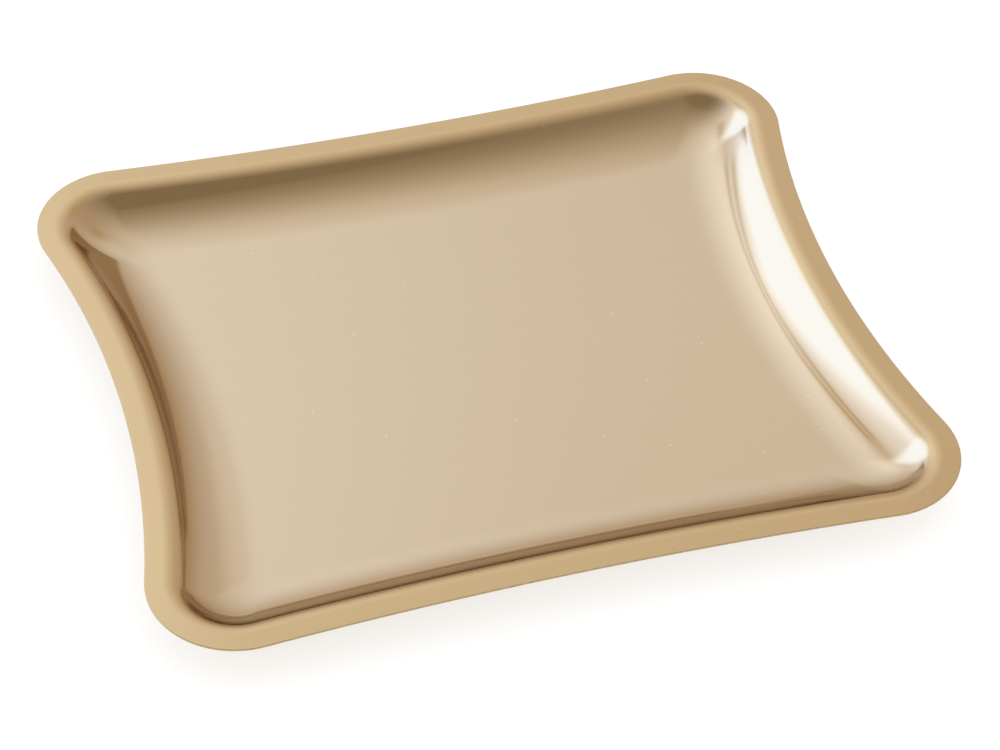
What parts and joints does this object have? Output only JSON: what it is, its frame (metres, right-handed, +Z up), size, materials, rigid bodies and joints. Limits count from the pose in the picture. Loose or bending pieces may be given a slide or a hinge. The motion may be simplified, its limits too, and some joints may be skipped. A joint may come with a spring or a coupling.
{
  "type": "serving tray",
  "caption": "Shallow pressed metal tray with hollow sides and rounded corners, a narrow flange, sloping walls and a flat floor on small stick-on feet.",
  "frame": {"origin": "on the surface the tray stands on, below the centre of its outline", "axes": "+X along the long way of the tray, +Y from its front to its back, +Z up out of the well"},
  "size_m": [0.3034, 0.2564, 0.0182],
  "materials": {
    "champagne_metal": "polished, finely brushed along the length, gold-tone anodised",
    "foot_rubber": "smooth, milky, stick-on"
  },
  "bodies": {
    "root": {"tray_body": "champagne_metal", "foot_front_left": "foot_rubber", "foot_front_right": "foot_rubber", "foot_rear_left": "foot_rubber", "foot_rear_right": "foot_rubber"}
  },
  "joints": []
}
